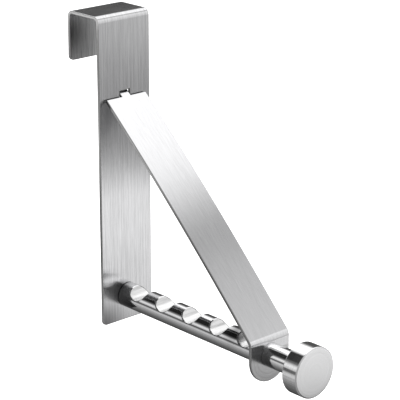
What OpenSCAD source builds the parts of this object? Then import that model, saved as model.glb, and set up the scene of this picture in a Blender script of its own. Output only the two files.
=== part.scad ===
// Over-the-door clothes valet in stainless steel: a bent strip hooks over the top of a door and
// carries a notched rod for clothes hangers.  A sloping strut ties the rod's front end back to the
// strip, and a knob clamps the strut's tab against the rod.
// Millimetres, +Z up.  The front faces -Y.  The origin is the middle of the seat that rests on the
// door's top edge, which is the underside of the hook's bridge.

/* [Door hook] */
// Width of the strip that makes the front plate, the bridge and the rear leg
plate_w = 40; // [36:0.5:60]
// Thickness of the door hook's sheet steel
plate_t = 2; // [1.5:0.1:3]
// Height of the front plate, from its lower edge to the top of the bridge
plate_h = 197.5; // [185:0.5:260]
// Clear distance between the front plate and the rear leg
hook_gap = 25.2; // [18:0.1:50]
// Height of the rear leg, from its lower edge to the top of the bridge
leg_h = 31.2; // [20:0.1:60]
// Inside radius of the two bends over the door
hook_bend_r = 2; // [1:0.1:4]
// Radius of the strip's four cut corners
strip_corner_r = 3; // [1:0.1:8]

/* [Hanger rod] */
// Diameter of the hanger rod
rod_d = 15.8; // [14:0.1:18]
// Length of the hanger rod, from the front plate to the strut's tab
rod_l = 126; // [110:0.5:160]
// Height of the rod's axis above the lower edge of the front plate
rod_rise = 16.5; // [12:0.1:30]
// Chamfer at both ends of the rod
rod_chamfer = 0.5; // [0.2:0.1:1]
// Number of notches for hanger hooks
notch_count = 5; // [3:1:6]
// Distance from the front plate to the middle of the first notch
notch_first = 15.4; // [14:0.1:24]
// Distance from the strut's tab to the middle of the last notch
notch_last = 13.4; // [13:0.1:24]
// Radius of the cutter that makes a notch across the rod
notch_r = 7.1; // [5:0.1:7.5]
// Height of a notch's floor above the rod's axis
notch_floor = 1.9; // [1.5:0.1:4]

/* [Strut] */
// Width of the strut
strut_w = 31; // [26:0.5:36]
// Thickness of the strut's sheet steel
strut_t = 2; // [1.5:0.1:3]
// Drop from the top of the bridge to the edge where the strut's back rests on the plate
strut_drop = 52.6; // [46:0.1:70]
// Outward bow of the strut between its ends
strut_bow = 1.9; // [0.5:0.1:4]
// Height of the top of the tab's flat part above the rod's axis
tab_flat_rise = 7.4; // [7:0.1:12]
// Distance from the rod's axis down to the tab's round lower edge
tab_drop = 16.8; // [14:0.1:24]
// Inside radius of the bend between the strut and its tab
tab_bend_r = 4; // [2:0.1:6]
// Width of the tongue that hooks into the plate's slot
tongue_w = 7; // [5:0.5:12]
// Inside radius of the tongue's upward bend behind the plate
tongue_bend_r = 0.8; // [0.5:0.1:1.2]
// Length of the tongue's upright end
tongue_end_l = 2.5; // [1.5:0.1:4]

/* [Knob] */
// Diameter of the knob's head
head_d = 31; // [26:0.5:36]
// Thickness of the knob's head
head_l = 11.4; // [8:0.1:16]
// Diameter of the knob's neck
neck_d = 14.5; // [12:0.1:18]
// Length of the knob's neck, from the tab to the head
neck_l = 24.7; // [20:0.1:36]
// Radius of the rounded rims of the head
head_rim_r = 0.8; // [0.4:0.1:1.5]
// Chamfer at the neck's end that meets the tab
neck_chamfer = 0.4; // [0.2:0.1:0.8]
// Radius where the neck runs into the head
neck_fillet_r = 0.6; // [0.3:0.1:1.2]

/* [Fasteners] */
// Diameter of the threaded stud that holds the knob to the rod
stud_d = 6; // [4:0.5:8]
// Length of the stud inside the rod
stud_in_rod = 7; // [6:0.5:7.5]
// Length of the stud inside the knob
stud_in_knob = 11; // [8:0.5:15]
// Shank diameter of the countersunk screw that holds the rod to the plate
screw_d = 4; // [3:0.5:5]
// Head diameter of the countersunk screw
screw_head_d = 7.4; // [7:0.1:9]
// Length of the countersunk screw, with its head
screw_l = 10; // [7:0.5:10.5]
// Width across the flats of the screw's hexagon socket
screw_key = 2.5; // [2:0.5:3]
// Chamfer at the threaded ends of the stud and the screw
fastener_chamfer = 0.5; // [0.2:0.1:0.8]

/* [Rubber bumpers] */
// Thickness of the bumpers that keep the plate off the door
bumper_t = 3; // [2.8:0.1:5]
// Width of a bumper
bumper_w = 30; // [20:1:34]
// Height of a bumper
bumper_h = 20; // [12:1:24]
// Radius of a bumper's corners
bumper_corner_r = 3; // [1:0.5:5]
// Distance from the bridge's underside down to the top of the upper bumper
upper_bumper_drop = 12; // [8:1:20]
// Distance from the rod's axis up to the lower edge of the lower bumper
lower_bumper_rise = 12; // [8:1:40]

/* [Clearances] */
// Gap all round a thread or shank in its bore
thread_gap = 0.05; // [0.02:0.01:0.1]
// Gap round the stud where it passes the tab's hole
tab_hole_gap = 0.25; // [0.1:0.05:0.5]
// Gap between the tongue and the edges of the plate's slot
slot_gap = 0.5; // [0.3:0.1:1]
// Gap between the tongue's upright end and the back of the plate
tongue_gap = 0.2; // [0.1:0.05:0.3]
// Space left beyond the end of a fastener in a blind bore
bore_spare = 1; // [0.5:0.5:1.5]

/* [Hidden] */

// Facets of a full circle, and steps of each bent run of the strut
fine = 96;
bend_steps = 16;
// Overrun of every cut past the face that it opens
over = 1;

// Faces of the door hook
plate_back = -hook_gap / 2;
plate_front = plate_back - plate_t;
leg_inner = hook_gap / 2;
bridge_top = plate_t;
plate_bottom = bridge_top - plate_h;
leg_bottom = bridge_top - leg_h;

// The rod's axis runs along Y at this height, from the plate to the back of the tab
rod_z = plate_bottom + rod_rise;
tab_back = plate_front - rod_l;
tab_front = tab_back - strut_t;
rod_r = rod_d / 2;
notch_z = notch_floor + notch_r;
notch_pitch = (rod_l - notch_first - notch_last) / (notch_count - 1);

// The strut's back face follows a route in [Y, Z]: up the tab, round its bend and along the bow to the
// plate.  A spot of the route is a point and a heading.  A run is [length, 0] where it is straight, and
// [radius, turn] where it is bent, with a turn to the left counted as positive.
upright = 90;
function dir(angle) = [cos(angle), sin(angle)];
function chord(run, turn) = turn == 0 ? run[0] : 2 * run[0] * sin(abs(turn) / 2);
function after(spot, run) = [spot[0] + chord(run, run[1]) * dir(spot[1] + run[1] / 2), spot[1] + run[1]];
// Spots after each step of a bent run, or after the whole of a straight one
function steps(spot, run) = run[1] == 0 ? [after(spot, run)]
    : [for (i = [1 : bend_steps]) after(spot, [run[0], run[1] * i / bend_steps])];
function route(spot, runs, i = 0) = i == len(runs) ? []
    : concat(steps(spot, runs[i]), route(after(spot, runs[i]), runs, i + 1));

tab_top = [[tab_back, rod_z + tab_flat_rise], upright];
strut_rest = [plate_front, bridge_top - strut_drop];

// Line from the end of the tab's bend to the strut's rest, when the tab bends by an angle
function span(turn) = strut_rest - after(tab_top, [tab_bend_r, -turn])[0];
function slope(turn) = atan2(span(turn)[1], span(turn)[0]);
// Angle between a bowed run and its chord at either end
function bow_lean(turn) = 2 * atan(2 * strut_bow / norm(span(turn)));
// The tab's bend is the one at which the bowed run ends on the strut's rest
function settle(turn, rounds) = rounds < 1 ? turn
    : settle(upright - slope(turn) - bow_lean(turn), rounds - 1);
first_turn = 45;
settle_rounds = 12;
tab_turn = settle(first_turn, settle_rounds);

bow_turn = 2 * bow_lean(tab_turn);
bow_r = norm(span(tab_turn)) / (2 * sin(bow_turn / 2));
// Slope at which the tongue enters the slot
tongue_slope = slope(tab_turn) - bow_lean(tab_turn);
// Run of the tongue along that slope, which brings its upright end just behind the plate
tongue_path_r = tongue_bend_r + strut_t;
tongue_run = (plate_t + tongue_gap + strut_t - tongue_path_r * (1 - sin(tongue_slope))) / cos(tongue_slope);

// The slot is cut round the tongue where it crosses the plate
slot_top = strut_rest[1] + strut_t / cos(tongue_slope) + plate_t * tan(tongue_slope) + slot_gap;
slot_bottom = strut_rest[1] - slot_gap;
slot_w = tongue_w + 2 * slot_gap;

// Bores
stud_bore_d = stud_d + 2 * thread_gap;
tab_hole_d = stud_d + 2 * tab_hole_gap;
screw_bore_d = screw_d + 2 * thread_gap;
screw_head_l = (screw_head_d - screw_d) / 2;
stud_l = stud_in_rod + strut_t + stud_in_knob;
key_depth_share = 0.75;
key_depth = screw_head_l * key_depth_share;

steel = [0.74, 0.74, 0.75];
polished = [0.82, 0.82, 0.83];
rubber = [0.2, 0.2, 0.21];

// Turns a drawing in [Y, Z] into a solid of the given width, centred on X
module across(width) {
    rotate([90, 0, 90]) linear_extrude(width, center = true) children();
}

// Places a turned part's axis along the rod's axis, with its profile's +Y pointing to the front
module on_rod_axis(from_y) {
    translate([0, from_y, rod_z]) rotate([90, 0, 0]) children();
}

// Sheet that stands on a route's spots, to the left of its headings
module sheet(spots, thick) {
    polygon(concat([for (s = spots) s[0]],
                   [for (i = [len(spots) - 1 : -1 : 0]) spots[i][0] + thick * dir(spots[i][1] + upright)]));
}

// Outline of a strip's end, with two rounded corners, drawn from its middle downwards
module round_cornered(width, height, r) {
    difference() {
        translate([-width / 2, -height]) square([width, height]);
        for (side = [-1, 1]) translate([side * (width / 2 - r), r - height]) difference() {
            translate([side > 0 ? 0 : -r - over, -r - over]) square([r + over, r + over]);
            circle(r, $fn = fine);
        }
    }
}

// The bridge and its two bends, over the door's top edge
module hook_bridge() {
    flat = hook_gap - 2 * hook_bend_r;
    outer_r = hook_bend_r + plate_t;
    across(plate_w) {
        translate([-flat / 2, 0]) square([flat, plate_t]);
        for (side = [0, 1]) mirror([side, 0]) translate([flat / 2, -hook_bend_r]) intersection() {
            difference() {
                circle(outer_r, $fn = fine);
                circle(hook_bend_r, $fn = fine);
            }
            square(outer_r + over);
        }
    }
}

// An upright leaf of the hook, whose back lies at the given Y, from the bends down to its lower edge
module hook_leaf(back_y, bottom_z) {
    translate([0, back_y, -hook_bend_r]) rotate([90, 0, 0])
        linear_extrude(plate_t) round_cornered(plate_w, -hook_bend_r - bottom_z, strip_corner_r);
}

module door_hook() {
    color(steel) difference() {
        union() {
            hook_bridge();
            hook_leaf(plate_back, plate_bottom);
            hook_leaf(leg_inner + plate_t, leg_bottom);
        }
        // Slot for the strut's tongue
        translate([-slot_w / 2, plate_front - over, slot_bottom])
            cube([slot_w, plate_t + 2 * over, slot_top - slot_bottom]);
        // Countersunk hole for the rod's screw, open to the back
        on_rod_axis(plate_back) rotate_extrude($fn = fine) {
            square([screw_bore_d / 2, plate_t + over]);
            polygon([[0, 0], [0, screw_head_l + thread_gap], [screw_bore_d / 2, screw_head_l + thread_gap],
                     [screw_head_d / 2 + 2 * thread_gap, 0]]);
            translate([0, -over]) square([screw_head_d / 2 + 2 * thread_gap, over]);
        }
    }
}

// The bend and the bowed run, as wide as the strut, and the tongue beyond them
module strut_run() {
    main_spots = concat([tab_top], route(tab_top, [[tab_bend_r, -tab_turn], [bow_r, -bow_turn]]));
    last = main_spots[len(main_spots) - 1];
    across(strut_w) sheet(main_spots, strut_t);
    across(tongue_w) sheet(concat([last], route(last, [
        [tongue_run, 0], [tongue_path_r, upright - tongue_slope], [tongue_end_l, 0]])), strut_t);
}

// The tab, with its round lower end and the hole for the stud
module strut_tab() {
    round_z = strut_w / 2 - tab_drop;
    on_rod_axis(tab_back) linear_extrude(strut_t) difference() {
        union() {
            translate([-strut_w / 2, round_z]) square([strut_w, tab_flat_rise - round_z]);
            translate([0, round_z]) intersection() {
                circle(d = strut_w, $fn = fine);
                translate([-strut_w, -strut_w]) square([2 * strut_w, strut_w]);
            }
        }
        circle(d = tab_hole_d, $fn = fine);
    }
}

module strut() {
    color(polished) {
        strut_run();
        strut_tab();
    }
}

module hanger_rod() {
    color(steel) difference() {
        on_rod_axis(plate_front) rotate_extrude($fn = fine) polygon([
            [0, 0], [rod_r - rod_chamfer, 0], [rod_r, rod_chamfer],
            [rod_r, rod_l - rod_chamfer], [rod_r - rod_chamfer, rod_l], [0, rod_l]]);
        // Notches for hanger hooks, cut across the top of the rod
        for (i = [0 : notch_count - 1])
            translate([0, plate_front - notch_first - i * notch_pitch, rod_z + notch_z])
                rotate([0, 90, 0]) cylinder(r = notch_r, h = rod_d + 2 * over, center = true, $fn = fine);
        // Threaded bores for the screw at the back and for the stud at the front
        on_rod_axis(plate_front + over)
            cylinder(d = screw_bore_d, h = over + screw_l - plate_t + bore_spare, $fn = fine);
        on_rod_axis(tab_back + stud_in_rod + bore_spare)
            cylinder(d = stud_bore_d, h = stud_in_rod + bore_spare + over, $fn = fine);
    }
}

// Half profile of the knob, from the neck's end at the tab to the head's front face
module knob_profile() {
    neck_r = neck_d / 2;
    head_r = head_d / 2;
    difference() {
        union() {
            polygon([[0, 0], [neck_r - neck_chamfer, 0], [neck_r, neck_chamfer], [neck_r, neck_l], [0, neck_l]]);
            // Fillet between the neck and the back of the head
            translate([neck_r, neck_l - neck_fillet_r]) difference() {
                square(neck_fillet_r);
                translate([neck_fillet_r, 0]) circle(neck_fillet_r, $fn = fine);
            }
            translate([0, neck_l]) square([head_r - head_rim_r, head_l]);
            translate([0, neck_l + head_rim_r]) square([head_r, head_l - 2 * head_rim_r]);
            for (y = [neck_l + head_rim_r, neck_l + head_l - head_rim_r])
                translate([head_r - head_rim_r, y]) circle(head_rim_r, $fn = fine);
        }
        translate([0, -over]) square([stud_bore_d / 2, over + stud_in_knob + bore_spare]);
    }
}

module knob() {
    color(polished) on_rod_axis(tab_front) rotate_extrude($fn = fine) knob_profile();
}

module knob_stud() {
    stud_r = stud_d / 2;
    color(steel) on_rod_axis(tab_back + stud_in_rod) rotate_extrude($fn = fine) polygon([
        [0, 0], [stud_r - fastener_chamfer, 0], [stud_r, fastener_chamfer],
        [stud_r, stud_l - fastener_chamfer], [stud_r - fastener_chamfer, stud_l], [0, stud_l]]);
}

module rod_screw() {
    screw_r = screw_d / 2;
    color(steel) on_rod_axis(plate_back) difference() {
        rotate_extrude($fn = fine) polygon([
            [0, 0], [screw_head_d / 2, 0], [screw_r, screw_head_l],
            [screw_r, screw_l - fastener_chamfer], [screw_r - fastener_chamfer, screw_l], [0, screw_l]]);
        translate([0, 0, -over]) cylinder(d = screw_key / cos(30), h = over + key_depth, $fn = 6);
    }
}

// A bumper on the back of the plate, with its top edge at the given height
module bumper(top_z) {
    color(rubber) translate([0, plate_back + bumper_t, top_z]) rotate([90, 0, 0])
        linear_extrude(bumper_t) intersection() {
            round_cornered(bumper_w, bumper_h, bumper_corner_r);
            translate([0, -bumper_h]) mirror([0, 1]) round_cornered(bumper_w, bumper_h, bumper_corner_r);
        }
}

module upper_bumper() {
    bumper(-upper_bumper_drop);
}

module lower_bumper() {
    bumper(rod_z + lower_bumper_rise + bumper_h);
}

door_hook();
strut();
hanger_rod();
knob();
knob_stud();
rod_screw();
upper_bumper();
lower_bumper();
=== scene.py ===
import math

import bmesh
import bpy
from mathutils import Matrix, Vector


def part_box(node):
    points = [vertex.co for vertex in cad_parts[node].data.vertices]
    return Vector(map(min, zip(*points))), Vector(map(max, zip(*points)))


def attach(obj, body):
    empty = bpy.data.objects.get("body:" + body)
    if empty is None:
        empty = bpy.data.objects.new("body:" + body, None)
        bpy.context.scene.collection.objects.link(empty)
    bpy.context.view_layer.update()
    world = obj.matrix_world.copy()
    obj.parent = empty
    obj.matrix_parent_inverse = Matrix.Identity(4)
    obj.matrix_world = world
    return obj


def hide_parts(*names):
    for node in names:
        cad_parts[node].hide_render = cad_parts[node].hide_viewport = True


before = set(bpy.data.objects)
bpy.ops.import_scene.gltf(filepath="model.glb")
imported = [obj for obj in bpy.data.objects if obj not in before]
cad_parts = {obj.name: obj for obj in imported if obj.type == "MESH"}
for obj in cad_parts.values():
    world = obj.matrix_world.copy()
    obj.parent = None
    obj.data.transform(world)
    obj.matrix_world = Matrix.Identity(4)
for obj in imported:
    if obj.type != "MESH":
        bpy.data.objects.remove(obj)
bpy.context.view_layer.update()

scene = bpy.context.scene


# Camera
# It stands about a metre off, to the left of the valet and a little above it, with a long lens.
# Its place was fitted to the valet's edges.
azimuth, elevation, distance = math.radians(-42.5), math.radians(18.62), 1.02766
looked_at = Vector((0.00702, -0.0746, -0.10305))
towards_camera = Vector((math.sin(azimuth) * math.cos(elevation), -math.cos(azimuth) * math.cos(elevation),
                         math.sin(elevation)))
camera_data = bpy.data.cameras.new("camera")
camera_data.lens = 155.0
camera_data.sensor_width = 36
camera_data.clip_start, camera_data.clip_end = 0.05, 60
camera = bpy.data.objects.new("camera", camera_data)
camera.location = looked_at + towards_camera * distance
camera.rotation_mode = "QUATERNION"
camera.rotation_quaternion = (-towards_camera).to_track_quat("-Z", "Y")
scene.collection.objects.link(camera)
scene.camera = camera
scene.view_settings.view_transform = "Standard"


# Door hook
# One strip of 2 mm stainless sheet, brushed along its length and bent twice over the top of a
# door.  Its cut edges are broken with a file, so they catch the light as thin lines.
(_, plate_front, _), (_, leg_outside, hook_top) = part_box("door_hook")
(_, rod_tip, rod_underside), (rod_radius, rod_back, rod_top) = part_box("hanger_rod")
sheet, screw_hole = 0.002, 0.0045
plate_back, rod_z = plate_front + sheet, (rod_underside + rod_top) / 2
slot_reach, slot_low, slot_high, slot_lip = 0.006, -0.053, -0.044, 0.0001
# The plate's and the leg's corners are where painted shade is darkest, and the span after them is the range
# of heights over which painted shade is set.
plate_corner, leg_corner = (-0.021, plate_front, -0.195), (-0.023, -plate_back, -0.012)
shade_span = (-0.2, 0.01)
squarely, sideways = 0.99, 0.7


def lay_nodes(tree, steps):
    """Adds nodes to a tree.  A step is name: (kind, settings).  A setting is a property of the node, or
    an input and what it gets: a value, a socket, or the output of an earlier step as (name, output)."""
    made = {}
    for name, (kind, settings) in steps.items():
        made[name] = node = tree.nodes.new(kind)
        for key, value in settings.items():
            if isinstance(key, str) and hasattr(node, key):
                setattr(node, key, value)
            elif isinstance(value, bpy.types.NodeSocket):
                tree.links.new(value, node.inputs[key])
            elif isinstance(value, tuple) and isinstance(value[0], str):
                tree.links.new(made[value[0]].outputs[value[1]], node.inputs[key])
            else:
                node.inputs[key].default_value = value
    return made


def range_step(value, low, high, first=0.0, last=1.0, curve="LINEAR"):
    """A step that takes a value from one range to another, and holds it at the ends."""
    return ("ShaderNodeMapRange", {
        "interpolation_type": curve, "Value": value, "From Min": low, "From Max": high, "To Min": first,
        "To Max": last})


def mix_step(share, first, second, blend="MIX"):
    """A step that mixes two colours, which a Mix node takes at inputs 6 and 7 and gives at output 2."""
    return ("ShaderNodeMix", {"data_type": "RGBA", "blend_type": blend, 0: share, 6: first, 7: second})


def number_step(operation, first, second=0.0):
    return ("ShaderNodeMath", {"operation": operation, 0: first, 1: second})


def vector_step(operation, first, second=(0, 0, 0)):
    return ("ShaderNodeVectorMath", {"operation": operation, 0: first, 1: second})


def noise_step(place, scale, detail, rough=0.5):
    return ("ShaderNodeTexNoise", {"Vector": place, "Scale": scale, "Detail": detail, "Roughness": rough})


def effect(name, inputs, outputs, steps, results):
    """A shader node group whose inputs are reached as ("in", socket), and which puts out the results."""
    tree = bpy.data.node_groups.new(name, "ShaderNodeTree")
    for socket, kind, value in inputs:
        tree.interface.new_socket(socket, in_out="INPUT", socket_type=kind).default_value = value
    for socket, kind in outputs:
        tree.interface.new_socket(socket, in_out="OUTPUT", socket_type=kind)
    made = lay_nodes(tree, {"in": ("NodeGroupInput", {}), **steps, "out": ("NodeGroupOutput", {})})
    for socket, (node, output) in results.items():
        tree.links.new(made[node].outputs[output], made["out"].inputs[socket])
    return tree


brushing = effect(
    "brushing",
    [("Position", "NodeSocketVector", (0, 0, 0)), ("Hairs", "NodeSocketVector", (1, 1, 1)),
     ("Streaks", "NodeSocketVector", (1, 1, 1)), ("Dark", "NodeSocketFloat", 0.9)],
    [("Height", "NodeSocketFloat"), ("Shade", "NodeSocketFloat"), ("Handling", "NodeSocketFloat")],
    {"fine_place": vector_step("MULTIPLY", ("in", "Position"), ("in", "Hairs")),
     "fine": noise_step(("fine_place", "Vector"), 1.0, 3.0, 0.65),
     "wide_place": vector_step("MULTIPLY", ("in", "Position"), ("in", "Streaks")),
     "wide": noise_step(("wide_place", "Vector"), 1.0, 2.0),
     "both": number_step("ADD", ("fine", "Fac"), ("wide", "Fac")),
     "shade": range_step(("both", "Value"), 0.75, 1.25, ("in", "Dark"), 1.0),
     "hands": noise_step(("in", "Position"), 34.0, 2.0),
     "spread": range_step(("hands", "Fac"), 0.35, 0.65)},
    {"Height": ("both", "Value"), "Shade": ("shade", "Result"), "Handling": ("spread", "Result")})


def steel(name, colour, rough, spread, hairs, streaks, dark, depth, centre=None):
    """Stainless steel with a worked surface, a little duller where hands were.  Hairs and streaks are
    lines per metre along X, Y and Z, or, on a surface that was turned or ground round a centre at that
    height, outwards from it, along Y and across."""
    handling, slant = 0.03, (1, 0, 0.7)
    material = bpy.data.materials.new(name)
    material.use_nodes = True
    material.node_tree.nodes.clear()
    steps = {"place": ("ShaderNodeTexCoord", {})}
    lines_at = ("place", "Object")
    if centre is not None:
        lines_at = ("round", "Vector")
        steps.update({
            "centred": vector_step("ADD", ("place", "Object"), (0, 0, -centre)),
            "flat": vector_step("MULTIPLY", ("centred", "Vector"), (1, 0, 1)),
            "outwards": vector_step("LENGTH", ("flat", "Vector")),
            "across": vector_step("DOT_PRODUCT", ("flat", "Vector"), slant),
            "parts": ("ShaderNodeSeparateXYZ", {"Vector": ("centred", "Vector")}),
            "round": ("ShaderNodeCombineXYZ", {"X": ("outwards", "Value"), "Y": ("parts", "Y"),
                                               "Z": ("across", "Value")})})
    steps.update({
        "lines": ("ShaderNodeGroup", {"node_tree": brushing, "Position": lines_at, "Hairs": hairs,
                                      "Streaks": streaks, "Dark": dark}),
        "tone": mix_step(1.0, colour, ("lines", "Shade"), "MULTIPLY"),
        "matt": range_step(("lines", "Handling"), 0.0, 1.0, rough, rough + handling),
        "relief": ("ShaderNodeBump", {"Height": ("lines", "Height"), "Distance": depth})})
    metal = {"Base Color": ("tone", 2), "Metallic": 1.0, "Roughness": ("matt", "Result"),
             "Anisotropic": spread, "Normal": ("relief", "Normal")}
    if spread:
        steps["lay"] = ("ShaderNodeTangent", {"direction_type": "UV_MAP", "uv_map": "lay"})
        metal["Tangent"] = ("lay", "Tangent")
    lay_nodes(material.node_tree, {
        **steps, "metal": ("ShaderNodeBsdfPrincipled", metal),
        "out": ("ShaderNodeOutputMaterial", {"Surface": ("metal", "BSDF")})})
    return material


def shaded(material, steps, tone):
    """Paints shade into a steel: multiplies its colour by what its added steps give, from the place on the
    piece.
    """
    tree = material.node_tree
    metal = next(node for node in tree.nodes if node.type == "BSDF_PRINCIPLED")
    colour = metal.inputs["Base Color"].links[0].from_socket
    made = lay_nodes(tree, {"place": ("ShaderNodeTexCoord", {}), **steps,
                            "shaded": mix_step(1.0, colour, tone, "MULTIPLY")})
    tree.links.new(made["shaded"].outputs[2], metal.inputs["Base Color"])
    return made


def set_greys(node, span, stops, part=1.0):
    """Sets a colour ramp over a span of levels to the greys at some of them, each times one part."""
    low, high = span
    steps = node.color_ramp.elements
    places = [(level - low) / (high - low) for level, _ in stops]
    steps[0].position, steps[1].position = places[0], places[-1]
    for place in places[1:-1]:
        steps.new(place)
    for step, (_, grey) in zip(steps, stops):
        step.color = (grey * part, grey * part, grey * part, 1)


def paint_shade_by_height(material, span, stops):
    """Paints shade into a steel's colour with height, lighter at some levels and darker at others, as the
    greys given at those levels say.
    """
    made = shaded(material, {
        "parts": ("ShaderNodeSeparateXYZ", {"Vector": ("place", "Object")}),
        "height": range_step(("parts", "Z"), *span),
        "height_shade": ("ShaderNodeValToRGB", {"Fac": ("height", "Result")})}, ("height_shade", "Color"))
    set_greys(made["height_shade"], span, stops)


def shade_corner(material, corner, reach, tone):
    """Paints shade into a steel's colour, darker towards a corner where little light gets in."""
    shaded(material, {
        "far": vector_step("DISTANCE", ("place", "Object"), corner),
        "dull": range_step(("far", "Value"), 0.0, reach, tone, 1.0, "SMOOTHSTEP")}, ("dull", "Result"))


def joined_copy(node, level=None):
    """A copy of a CAD node's shape with its triangles joined up and its sharp edges marked for breaking.
    It is cut across at a level where one is given."""
    apart, cut_within, flat, sharp = 2e-6, 1e-7, math.radians(0.05), math.radians(32)
    shape = bmesh.new()
    shape.from_mesh(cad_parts[node].data)
    for layer in shape.loops.layers.uv.values():
        shape.loops.layers.uv.remove(layer)
    bmesh.ops.remove_doubles(shape, verts=shape.verts[:], dist=apart)
    bmesh.ops.dissolve_limit(shape, angle_limit=flat, verts=shape.verts[:], edges=shape.edges[:])
    if level is not None:
        bmesh.ops.bisect_plane(shape, geom=shape.verts[:] + shape.edges[:] + shape.faces[:], dist=cut_within,
                               plane_co=(0, 0, level), plane_no=(0, 0, 1))
    shape.normal_update()
    broken = shape.edges.layers.float.new("bevel_weight_edge")
    for edge in shape.edges:
        edge[broken] = 1.0 if edge.calc_face_angle(0) > sharp else 0.0
    return shape


def finished_piece(shape, node, name, body, materials, across):
    """Makes a shape the smooth piece that is seen in place of a CAD node.  Its map named lay runs across
    the lines of the brushing, as the function across gives it from a place, a normal and a middle."""
    mesh = bpy.data.meshes.new(name)
    shape.to_mesh(mesh)
    shape.free()
    lay = mesh.uv_layers.new(name="lay")
    for face in mesh.polygons:
        face.use_smooth = True
        for corner in face.loop_indices:
            place = mesh.vertices[mesh.loops[corner].vertex_index].co
            lay.data[corner].uv = across(place, face.normal, face.center)
    for material in materials:
        mesh.materials.append(material)
    piece = bpy.data.objects.new(name, mesh)
    scene.collection.objects.link(piece)
    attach(piece, body)
    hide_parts(node)
    return piece


def true_faces(piece):
    """Keeps the broad faces of a piece true, so that only its broken edges turn the light."""
    piece.modifiers.new("true faces", "WEIGHTED_NORMAL").keep_sharp = True


def broken_edges(piece, width, edge_material):
    """Breaks the marked edges of a piece, as a file does."""
    bevel = piece.modifiers.new("broken edges", "BEVEL")
    bevel.width, bevel.segments, bevel.limit_method = width, 4, "WEIGHT"
    bevel.use_clamp_overlap = False
    bevel.material = edge_material
    true_faces(piece)


def is_cut_side(normal):
    return abs(normal.x) > sideways


def along_strip(place, normal, middle):
    """Across the strip and along it, over the bends from the front to the rear."""
    if is_cut_side(normal):
        return place.y, place.z
    return place.x, place.z + (place.y if middle.y < 0 else -place.y)


strip_lines = {"hairs": (4600, 85, 85), "streaks": (1700, 15, 15), "dark": 0.74, "depth": 0.00002}
sheet_steel = steel("brushed_sheet_steel", (0.83, 0.83, 0.84, 1), 0.17, 1.0, **strip_lines)
# Painted shade: the plate is darker towards its bottom edge, and darker still at its lower left corner below
# the rod.
paint_shade_by_height(sheet_steel, shade_span, ((-0.196, 0.7), (-0.19, 0.84), (-0.183, 0.97), (-0.178, 1.0)))
shade_corner(sheet_steel, plate_corner, 0.027, 0.3)
# Painted shade: the same brushed sheet made darker for the hook's flat top, for the dark that the top
# mirrors.
dark_top_steel = steel("brushed_top_steel_painted_shade", (0.46, 0.46, 0.465, 1), 0.17, 1.0, **strip_lines)
inner_steel = steel("dull_inner_steel", (0.93, 0.93, 0.935, 1), 0.36, 0.7, hairs=(4600, 85, 85),
                    streaks=(1500, 30, 30), dark=0.6, depth=0.00002)
# Painted shade: the inside of the hook is darker towards the leg's inner corner.
shade_corner(inner_steel, leg_corner, 0.018, 0.22)
cut_steel = steel("cut_edge_steel", (1.0, 1.0, 1.0, 1), 0.2, 0.0, hairs=(900, 900, 900),
                  streaks=(90, 90, 90), dark=0.8, depth=0.000006)
# Painted shade and reflection: the cut sides are darker and lighter in bands by height, for the dark and
# light things they mirror.
paint_shade_by_height(cut_steel, shade_span, (
    (-0.19, 0.34), (-0.165, 0.3), (-0.15, 0.17), (-0.128, 0.16), (-0.108, 0.27), (-0.086, 0.66),
    (-0.074, 0.74), (-0.052, 0.52), (-0.03, 0.38), (-0.012, 0.56), (-0.004, 1.0)))
filed_steel = steel("filed_edge_steel", (0.86, 0.86, 0.86, 1), 0.16, 0.0, hairs=(1500, 1500, 1500),
                    streaks=(120, 120, 120), dark=0.85, depth=0.000002)
# Painted shade: the filed edges are darker everywhere below the hook's top, so that only those at the top
# keep bright lines.
paint_shade_by_height(filed_steel, shade_span, ((-0.2, 0.5), (-0.006, 0.5), (-0.001, 1.0), (0.002, 1.0)))
# Painted shade: a near-black steel on the slot's walls, the strut's top end and the rod's back end, standing
# in for the shade in those gaps and the dark seams the plate mirrors there.
gap_shade_steel = steel("painted_gap_shade_steel", (0.1, 0.1, 0.105, 1), 0.45, 0.0, hairs=(2600, 2600, 2600),
                    streaks=(300, 300, 300), dark=0.6, depth=0.00001)
hook_steels = (sheet_steel, cut_steel, filed_steel, gap_shade_steel, dark_top_steel, inner_steel)

hook_shape = joined_copy("door_hook")
broken = hook_shape.edges.layers.float["bevel_weight_edge"]
for edge in hook_shape.edges:
    middle = (edge.verts[0].co + edge.verts[1].co) / 2
    if math.hypot(middle.x, middle.z - rod_z) < screw_hole:
        edge[broken] = 0.0
for face in hook_shape.faces:
    middle = face.calc_center_median()
    in_sheet = plate_front + slot_lip < middle.y < plate_back - slot_lip
    # The slot's walls take the near-black steel: painted shade.
    if in_sheet and abs(middle.x) < slot_reach and slot_low < middle.z < slot_high:
        finish = gap_shade_steel
    # The hook's flat top takes the darker copy of the sheet: painted shade.
    elif face.normal.z > squarely and middle.z > hook_top - sheet / 4:
        finish = dark_top_steel
    elif abs(face.normal.y) > squarely and abs(middle.y) < leg_outside - sheet / 2:
        finish = inner_steel
    else:
        finish = cut_steel if is_cut_side(face.normal) else sheet_steel
    face.material_index = hook_steels.index(finish)
door_hook = finished_piece(hook_shape, "door_hook", "bent_door_hook", "frame", hook_steels,
                           along_strip)
broken_edges(door_hook, 0.00045, hook_steels.index(filed_steel))


# Strut
# A narrower strip of the same sheet, bowed a little outwards.  Its tongue hooks through the
# plate's slot, and the knob clamps the tab at its foot, which is ground round at the end.
ground_below, ground_middle, cut_above = -0.1765, -0.1803, -0.0555
strut_outwards, turned_away, tab_facing = Vector((0, -0.688, 0.725)), 0.6, 0.9


def along_strut(place, normal, middle):
    return (place.y, place.z) if is_cut_side(normal) else (place.x, place.y + place.z)


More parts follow.
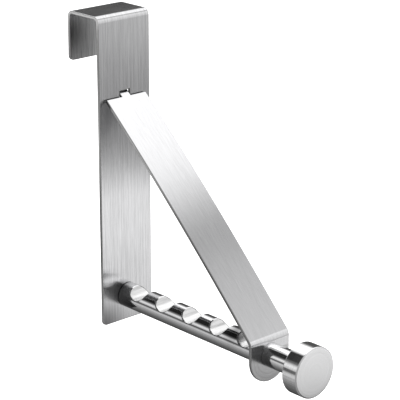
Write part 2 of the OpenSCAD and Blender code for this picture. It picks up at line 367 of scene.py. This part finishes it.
strut_steel = steel("brushed_strut_steel", (0.83, 0.83, 0.84, 1), 0.17, 1.0, hairs=(5200, 60, 60),
                    streaks=(2600, 90, 90), dark=0.88, depth=0.000013)
ground_steel = steel("ground_end_steel", (0.83, 0.83, 0.835, 1), 0.22, 0.0, hairs=(3600, 40, 60),
                     streaks=(1300, 20, 45), dark=0.78, depth=0.000012, centre=ground_middle)
# Painted shade and reflection: the tab's ground end is darker towards the bottom, where the neck and head
# stand in front of it.
paint_shade_by_height(ground_steel, (-0.2, -0.17), (
    (-0.198, 0.55), (-0.19, 0.66), (-0.184, 0.72), (-0.178, 0.95), (-0.175, 1.0)))
strut_steels = (strut_steel, cut_steel, ground_steel, filed_steel, gap_shade_steel)

strut_shape = joined_copy("strut", ground_below)
for face in strut_shape.faces:
    middle = face.calc_center_median()
    if abs(face.normal.y) > tab_facing and middle.z < ground_below:
        finish = ground_steel
    elif is_cut_side(face.normal):
        finish = cut_steel
    # The strut's top end takes the near-black steel: painted shade.
    elif middle.z > cut_above and abs(face.normal.dot(strut_outwards)) < turned_away:
        finish = gap_shade_steel
    else:
        finish = strut_steel
    face.material_index = strut_steels.index(finish)
strut = finished_piece(strut_shape, "strut", "bowed_strut", "frame", strut_steels,
                       along_strut)
broken_edges(strut, 0.0004, strut_steels.index(filed_steel))


# Hanger rod
# Polished round bar, screwed to the plate from behind.  Five notches are milled across its top
# with a round cutter, and their rims are lightly broken with a stone.
rod_chamfer, bore_lip = 0.0005, 0.0001
screw_bore, screw_bore_end, stud_bore, stud_bore_end = 0.00205, -0.0236, 0.00305, -0.1326
notch_count, notch_pitch, first_notch = 5, 0.0243, -0.030
cutter_radius, cutter_rise, rim, beyond_notch = 0.0071, 0.009, 0.00045, 0.0075
notch_steps = [step / 1000 for step in (7.5, 7.2, 7.1, 7.03, 6.97, 6.9, 6.76, 6.6, 6.35, 6.0, 5.5, 4.9, 4.2,
                                        3.4, 2.6, 1.75, 0.9)]
across_floor, round_bar, least_floor = 16, 112, math.radians(20)
widest_rim, narrowest_rim = math.radians(3.2), math.radians(0.8)
skin, under_skin, rim_from = 0.00006, 0.0003, 0.0035
merged, soft_turn, halvings, upwards = 1e-6, math.radians(24), 30, 0.1
notch_middles = [first_notch - notch_pitch * i for i in range(notch_count)]


def cut_height(from_middle, radius):
    """How high above the bar's middle a cutter of that radius reaches, this far from the notch's middle."""
    if abs(from_middle) < radius:
        return cutter_rise - math.sqrt(radius ** 2 - from_middle ** 2)
    return rod_radius


def bar_directions(from_middle):
    """Turns from straight up for the points round the bar, closer together over a notch's rim."""
    outer = math.acos(min(cut_height(from_middle, cutter_radius + rim) / rod_radius, 1))
    floor = cut_height(from_middle, cutter_radius)
    inner = math.atan2(math.sqrt(max((rod_radius - rim) ** 2 - floor ** 2, 0)), floor)
    outer = max(outer, least_floor)
    inner = min(max(inner, outer - widest_rim), outer - narrowest_rim)
    floor_turns = [math.atan(math.tan(inner) * (2 * i / across_floor - 1)) for i in range(across_floor + 1)]
    bar_turns = [outer + (2 * math.pi - 2 * outer) * i / round_bar for i in range(round_bar + 1)]
    return floor_turns + bar_turns + [2 * math.pi - inner]


def bar_reach(turn, from_middle):
    """How far the steel reaches from the bar's middle in one direction, by halving: the bar, less the
    cutter's notch and its broken rim."""
    low, high = 0.0, rod_radius
    for _ in range(halvings):
        reach = (low + high) / 2
        to_cutter = math.hypot(from_middle, cutter_rise - reach * math.cos(turn)) - cutter_radius
        if min(to_cutter, rod_radius - reach + to_cutter - rim) > 0:
            low = reach
        else:
            high = reach
    return high


def nearest_notch(y):
    return min(notch_middles, key=lambda middle: abs(middle - y))


def round_the_bar(place, normal, middle):
    """Across the lines of the polishing, and in a notch across those of the cutter."""
    in_bar = math.hypot(middle.x, middle.z - rod_z) < rod_radius - under_skin
    if normal.z > upwards and in_bar and rod_tip < middle.y < rod_back:
        return place.y + math.copysign(place.z, middle.y - nearest_notch(middle.y)), place.x
    return math.hypot(place.x, place.z - rod_z) - place.y, place.x + place.z


# Each row is its place along Y, its radius, and how far it is from a notch's middle.
rod_rows = [(screw_bore_end, 0, None), (screw_bore_end, screw_bore, None),
            (rod_back - bore_lip, screw_bore, None), (rod_back, screw_bore + bore_lip, None),
            (rod_back, rod_radius - rod_chamfer, None), (rod_back - rod_chamfer, rod_radius, None)]
for middle in notch_middles:
    for step in notch_steps + [0] + [-step for step in notch_steps[::-1]]:
        rod_rows.append((middle + step, rod_radius, step))
rod_rows += [(rod_tip + rod_chamfer, rod_radius, None), (rod_tip, rod_radius - rod_chamfer, None),
             (rod_tip, stud_bore + bore_lip, None), (rod_tip + bore_lip, stud_bore, None),
             (stud_bore_end, stud_bore, None), (stud_bore_end, 0, None)]
rod_shape = bmesh.new()
bmesh.ops.create_grid(rod_shape, x_segments=across_floor + round_bar + 2, y_segments=len(rod_rows) - 1,
                      size=1)
rod_shape.verts.ensure_lookup_table()
row_length = len(rod_shape.verts) // len(rod_rows)
for row, (y, radius, from_middle) in enumerate(rod_rows):
    turns = bar_directions(beyond_notch if from_middle is None else from_middle)
    for i in range(row_length):
        turn = turns[i % len(turns)]
        reach = radius if from_middle is None else bar_reach(turn, from_middle)
        rod_shape.verts[row * row_length + i].co = (reach * math.sin(turn), y, rod_z + reach * math.cos(turn))
bmesh.ops.remove_doubles(rod_shape, verts=rod_shape.verts[:], dist=merged)
bmesh.ops.recalc_face_normals(rod_shape, faces=rod_shape.faces[:])
for edge in rod_shape.edges:
    on_bar = all(math.hypot(vert.co.x, vert.co.z - rod_z) > rod_radius - merged for face in edge.link_faces
                 for vert in face.verts)
    edge.smooth = on_bar or edge.calc_face_angle(0) < soft_turn

bar_steel = steel("polished_bar_steel", (0.82, 0.82, 0.83, 1), 0.07, 0.5, hairs=(6500, 6500, 60),
                  streaks=(900, 900, 30), dark=0.93, depth=0.0000012, centre=rod_z)
# Painted shade: the rod is darker on top where it meets the plate, and on the land under the strut.
dim_x, behind_strut = -0.004, -0.117
shade_corner(bar_steel, (dim_x, rod_back, rod_top), 0.008, 0.35)
shade_corner(bar_steel, (dim_x, behind_strut, rod_top), 0.011, 0.25)
milled_steel = steel("milled_notch_steel", (0.95, 0.95, 0.95, 1), 0.3, 0.6, hairs=(70, 3800, 3800),
                     streaks=(40, 420, 420), dark=0.66, depth=0.00001)
# Painted shade: the rims are near-black, standing in for the dark lines they mirror, not for a colour of
# stoned steel.
dark_rim_steel = steel("stoned_rim_steel_painted_shade", (0.22, 0.22, 0.225, 1), 0.2, 0.0, hairs=(3000, 3000, 3000),
                  streaks=(400, 400, 400), dark=0.7, depth=0.000004)
rod_steels = (bar_steel, milled_steel, gap_shade_steel, dark_rim_steel)
for face in rod_shape.faces:
    middle = face.calc_center_median()
    out, up = math.hypot(middle.x, middle.z - rod_z), middle.z - rod_z
    off_cutter = math.hypot(middle.y - nearest_notch(middle.y), cutter_rise - up) - cutter_radius
    finish = bar_steel
    if up > 0 and out < rod_radius - under_skin and abs(off_cutter) < skin:
        finish = milled_steel
    # The rod's back end and chamfer take the near-black steel: painted shade, mirrored in the plate as a dark
    # seam.
    elif middle.y > rod_back - rod_chamfer and out > screw_bore:
        finish = gap_shade_steel
    # The rims take the near-black steel: painted shade.
    elif up > 0 and off_cutter < rim and out < rod_radius - skin and abs(middle.x) > rim_from:
        finish = dark_rim_steel
    face.material_index = rod_steels.index(finish)
rod = finished_piece(rod_shape, "hanger_rod", "notched_rod", "frame", rod_steels,
                     round_the_bar)
true_faces(rod)


# Knob
# Turned from one bar: a neck that clamps the strut's tab, and a flat round head to hang things
# on.  The head's face is finished on the lathe too, with fine rings, and its rim is rounded.
(_, head_front, _), (head_radius, neck_back, _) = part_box("knob")
neck_length, neck_radius, neck_chamfer, neck_fillet = 0.0247, 0.00725, 0.0004, 0.0006
head_back = neck_back - neck_length
head_rim, crown, crown_radius = 0.0008, 0.00012, 0.0147
face_rings = (0.0125, 0.01, 0.0075, 0.005, 0.0025, 0)
knob_bore, knob_bore_end = 0.00305, -0.1546
round_knob, soft_corner, front_facing = 192, math.radians(30), 0.995


def corner(y, out, radius, first, last, steps=5):
    """Points of a turned corner round a middle, between two angles: 0 is towards the plate, 90 outwards."""
    angles = [math.radians(first + (last - first) * i / steps) for i in range(steps + 1)]
    return [(y + radius * math.cos(angle), out + radius * math.sin(angle)) for angle in angles]


def round_the_knob(place, normal, middle):
    return math.hypot(place.x, place.z - rod_z) - place.y, place.x + place.z


turned_line = [(knob_bore_end, 0), (knob_bore_end, knob_bore), (neck_back - bore_lip, knob_bore),
               (neck_back, knob_bore + bore_lip), (neck_back, neck_radius - neck_chamfer),
               (neck_back - neck_chamfer, neck_radius)]
turned_line += corner(head_back + neck_fillet, neck_radius + neck_fillet, neck_fillet, -90, -180)
turned_line += corner(head_back - head_rim, head_radius - head_rim, head_rim, 0, 90)
turned_line += corner(head_front + crown + head_rim, head_radius - head_rim, head_rim, 90, 178)
turned_line += [(head_front + crown * (out / crown_radius) ** 2, out) for out in face_rings]
knob_shape = bmesh.new()
bmesh.ops.create_grid(knob_shape, x_segments=round_knob, y_segments=len(turned_line) - 1, size=1)
knob_shape.verts.ensure_lookup_table()
row_length = round_knob + 1
for row, (y, out) in enumerate(turned_line):
    for i in range(row_length):
        turn = 2 * math.pi * i / round_knob
        knob_shape.verts[row * row_length + i].co = (out * math.sin(turn), y, rod_z + out * math.cos(turn))
bmesh.ops.remove_doubles(knob_shape, verts=knob_shape.verts[:], dist=merged)
bmesh.ops.recalc_face_normals(knob_shape, faces=knob_shape.faces[:])
for edge in knob_shape.edges:
    edge.smooth = not edge.is_manifold or edge.calc_face_angle() < soft_corner

turned_lines = {"hairs": (6500, 6500, 60), "streaks": (900, 900, 30), "dark": 0.93, "depth": 0.0000012,
                "centre": rod_z}
knob_steel = steel("turned_knob_steel", (0.9, 0.9, 0.905, 1), 0.08, 0.5, **turned_lines)
face_steel = steel("turned_face_steel", (0.89, 0.89, 0.895, 1), 0.13, 0.6, hairs=(4800, 200, 30),
                   streaks=(800, 200, 20), dark=0.95, depth=0.000002, centre=rod_z)
round_steel = steel("turned_rim_steel", (0.86, 0.86, 0.865, 1), 0.12, 0.0, **turned_lines)
# Painted shade: the head's rounded rim is darker towards its underside.
paint_shade_by_height(round_steel, (-0.2, -0.16), ((-0.1945, 0.4), (-0.188, 0.55), (-0.176, 0.75), (-0.168, 1.0)))
knob_steels = (knob_steel, face_steel, round_steel)
for face in knob_shape.faces:
    finish = knob_steel
    if face.calc_center_median().y < head_front + head_rim:
        finish = face_steel if face.normal.y < -front_facing else round_steel
    face.material_index = knob_steels.index(finish)
knob = finished_piece(knob_shape, "knob", "turned_knob", "knob_head", knob_steels,
                      round_the_knob)
true_faces(knob)


# Fasteners
# The stud between knob and rod, and the countersunk screw behind the rod, are plain stainless
# with the faint rings of the lathe.
plain_steel = steel("plain_fastener_steel", (0.66, 0.66, 0.665, 1), 0.24, 0.0, hairs=(3000, 3000, 80),
                    streaks=(500, 500, 40), dark=0.85, depth=0.000004, centre=rod_z)
for name in ("knob_stud", "rod_screw"):
    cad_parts[name].data.materials.clear()
    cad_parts[name].data.materials.append(plain_steel)


# Rubber bumpers
# Two moulded rubber bumpers stuck to the back of the plate, which keep it off the door.  Their
# edges are rounded in the mould, and the skin is matt with a little bloom.
def flat_on(place, normal, middle):
    return place.x, place.z


rubber = bpy.data.materials.new("matt_rubber")
rubber.use_nodes = True
rubber.node_tree.nodes.clear()
made = lay_nodes(rubber.node_tree, {
    "place": ("ShaderNodeTexCoord", {}),
    "skin": noise_step(("place", "Object"), 2600.0, 3.0),
    "bloom": noise_step(("place", "Object"), 160.0, 4.0),
    "tone": ("ShaderNodeValToRGB", {"Fac": ("bloom", "Fac")}),
    "matt": range_step(("bloom", "Fac"), 0.3, 0.7, 0.62, 0.82),
    "relief": ("ShaderNodeBump", {"Height": ("skin", "Fac"), "Distance": 0.00004}),
    "body": ("ShaderNodeBsdfPrincipled", {"Base Color": ("tone", "Color"), "Roughness": ("matt", "Result"),
                                          "Normal": ("relief", "Normal")}),
    "out": ("ShaderNodeOutputMaterial", {"Surface": ("body", "BSDF")})})
black, bloomed = made["tone"].color_ramp.elements
black.position, bloomed.position = 0.3, 0.75
black.color, bloomed.color = (0.02, 0.02, 0.021, 1), (0.05, 0.05, 0.05, 1)
for name in ("upper_bumper", "lower_bumper"):
    bumper = finished_piece(joined_copy(name), name, name.replace("bumper", "rubber_bumper"), "frame",
                            (rubber,), flat_on)
    broken_edges(bumper, 0.0006, 0)


# Floor, light and surroundings
# A white studio, made of the world's colours.  A broad soft box hangs above and to the right, and
# the gaps beside it are dark.  A pale floor, far below, keeps the shadow and isn't mirrored.
strength, steel_share = 1.3, 0.8
wall_grey, wall_share, open_grey, dim_grey = 0.42, 0.7, 0.42, 0.05
strut_slope = (0.0, -0.688, -0.725)
floor_level, floor_radius = -0.42, 9
# Edges of the lit parts: the stretch of a direction's X, Y or Z in which one fades into the next.
box_left_x, box_foot_z, rear_y, front_x = (-0.15, 0.02), (0.45, 0.6), (-0.15, 0.2), (0.0, 0.3)
# The bars mirror directions near this Y into the camera, and the walls are lit further off it.
bar_y, off_bar_y = 0.7, (0.07, 0.2)

# What the round bars mirror, by the turn round them in degrees, from +X up through +Z.
rear_greys = (
    (-180, 0.09), (-173, 0.09), (-166, 0.42), (-162, 0.55), (-156, 0.45), (-148, 0.36), (-136, 0.28),
    (-116, 0.15), (-96, 0.095), (-76, 0.06), (-50, 0.04), (-30, 0.08), (-17, 0.14), (3, 0.06), (22, 0.07),
    (30, 0.1), (38, 0.28), (95, 0.3), (101, 0.015), (135, 0.012), (146, 0.12), (155, 0.5), (164, 0.78),
    (172, 0.5), (178, 0.1))
# What the plate and the tab mirror, by the angle above the horizon in degrees.
front_greys = (
    (-80, 0.1), (-45, 0.15), (-33, 0.17), (-28, 0.26), (-26.5, 0.4), (-25.4, 0.55), (-24.4, 0.64),
    (-20.5, 0.72), (-19, 0.9), (-18.1, 1.0), (-17.9, 0.84), (-17.55, 0.36), (-17.3, 0.25), (-16.8, 0.27),
    (-15.3, 0.27), (-14.3, 0.32), (-13, 0.48), (-8, 0.62), (5, 0.68), (23, 0.78), (40, 0.74), (60, 0.6))
# What the strut mirrors, by how far the direction runs down along its slope.
ceiling_greys = (
    (-1, 1.14), (-0.46, 1.12), (-0.43, 1.08), (-0.38, 1.0), (-0.363, 0.94), (-0.351, 0.85), (-0.339, 0.71),
    (-0.328, 0.53), (-0.315, 0.4), (-0.303, 0.34), (-0.291, 0.35), (-0.28, 0.39), (-0.254, 0.46),
    (-0.229, 0.5), (-0.19, 0.53), (-0.15, 0.61), (-0.08, 0.8), (0.1, 0.98))


def grey(tone):
    return tone, tone, tone, 1


world = bpy.data.worlds.new("studio")
scene.world = world
world.use_nodes = True
world.node_tree.nodes.clear()
# Ray Depth is 2 for light that reached the camera by one reflection, and 3 by two.  A second
# reflection finds the left front dim and the rear without its lit walls.
made = lay_nodes(world.node_tree, {
    "place": ("ShaderNodeTexCoord", {}),
    "path": ("ShaderNodeLightPath", {}),
    "first": range_step(("path", "Ray Depth"), 2.0, 3.0, 1.0, 0.0),
    "way": ("ShaderNodeSeparateXYZ", {"Vector": ("place", "Generated")}),
    "turn": number_step("ARCTAN2", ("way", "Z"), ("way", "X")),
    "round": range_step(("turn", "Value"), -math.pi, math.pi),
    "rear": ("ShaderNodeValToRGB", {"Fac": ("round", "Result")}),
    "clutter": ("ShaderNodeTexNoise", {"noise_dimensions": "1D", "W": ("turn", "Value"), "Scale": 14.0,
                                       "Detail": 3.0}),
    "uneven": range_step(("clutter", "Fac"), 0.3, 0.7, 0.72, 1.28),
    "room": mix_step(1.0, ("rear", "Color"), ("uneven", "Result"), "MULTIPLY"),
    "aside": number_step("SUBTRACT", ("way", "Y"), bar_y),
    "off_line": number_step("ABSOLUTE", ("aside", "Value")),
    "off": range_step(("off_line", "Value"), *off_bar_y, 0.0, wall_share),
    "wide": number_step("MULTIPLY", ("off", "Result"), ("first", "Result")),
    "walled": mix_step(("wide", "Value"), ("room", 2), grey(wall_grey)),
    "height": range_step(("way", "Z"), -1.0, 1.0),
    "front": ("ShaderNodeValToRGB", {"Fac": ("height", "Result")}),
    "left_front": range_step(("path", "Ray Depth"), 2.0, 3.0, open_grey, dim_grey),
    "away": range_step(("way", "X"), *front_x),
    "open": mix_step(("away", "Result"), ("left_front", "Result"), ("front", "Color")),
    "back": range_step(("way", "Y"), *rear_y),
    "sides": mix_step(("back", "Result"), ("open", 2), ("walled", 2)),
    "slope": vector_step("DOT_PRODUCT", ("place", "Generated"), strut_slope),
    "along": range_step(("slope", "Value"), -1.0, 1.0),
    "ceiling": ("ShaderNodeValToRGB", {"Fac": ("along", "Result")}),
    "rise": range_step(("way", "Z"), *box_foot_z),
    "right": range_step(("way", "X"), *box_left_x),
    "over": number_step("MULTIPLY", ("rise", "Result"), ("right", "Result")),
    "all": mix_step(("over", "Value"), ("sides", 2), ("ceiling", "Color")),
    "seen": mix_step(("path", "Is Camera Ray"), ("all", 2), grey(1 / strength)),
    "light": ("ShaderNodeBackground", {"Color": ("seen", 2), "Strength": strength}),
    "out": ("ShaderNodeOutputWorld", {"Surface": ("light", "Background")})})
# The greys are those of the steel that mirrors them, so each is divided by its share of the light.
lit = 1 / (steel_share * strength)
front_heights = [(math.sin(math.radians(angle)), tone) for angle, tone in front_greys]
set_greys(made["rear"], (-180, 180), rear_greys, lit)
set_greys(made["front"], (-1, 1), front_heights, lit)
set_greys(made["ceiling"], (-1, 1), ceiling_greys, lit)

floor_shape = bmesh.new()
bmesh.ops.create_circle(floor_shape, cap_ends=True, radius=floor_radius, segments=64)
floor_mesh = bpy.data.meshes.new("floor")
floor_shape.to_mesh(floor_mesh)
floor_shape.free()
floor_mesh.transform(Matrix.Translation((0, 0, floor_level)))
floor = bpy.data.objects.new("floor", floor_mesh)
scene.collection.objects.link(floor)
floor.visible_glossy = False
pale = bpy.data.materials.new("pale_floor")
pale.use_nodes = True
pale.node_tree.nodes.clear()
lay_nodes(pale.node_tree, {
    "path": ("ShaderNodeLightPath", {}),
    "paint": ("ShaderNodeBsdfDiffuse", {"Color": grey(0.8)}),
    "glow": ("ShaderNodeEmission", {"Strength": ("path", "Is Camera Ray")}),
    "sum": ("ShaderNodeAddShader", {0: ("paint", "BSDF"), 1: ("glow", "Emission")}),
    "out": ("ShaderNodeOutputMaterial", {"Surface": ("sum", "Shader")})})
floor_mesh.materials.append(pale)
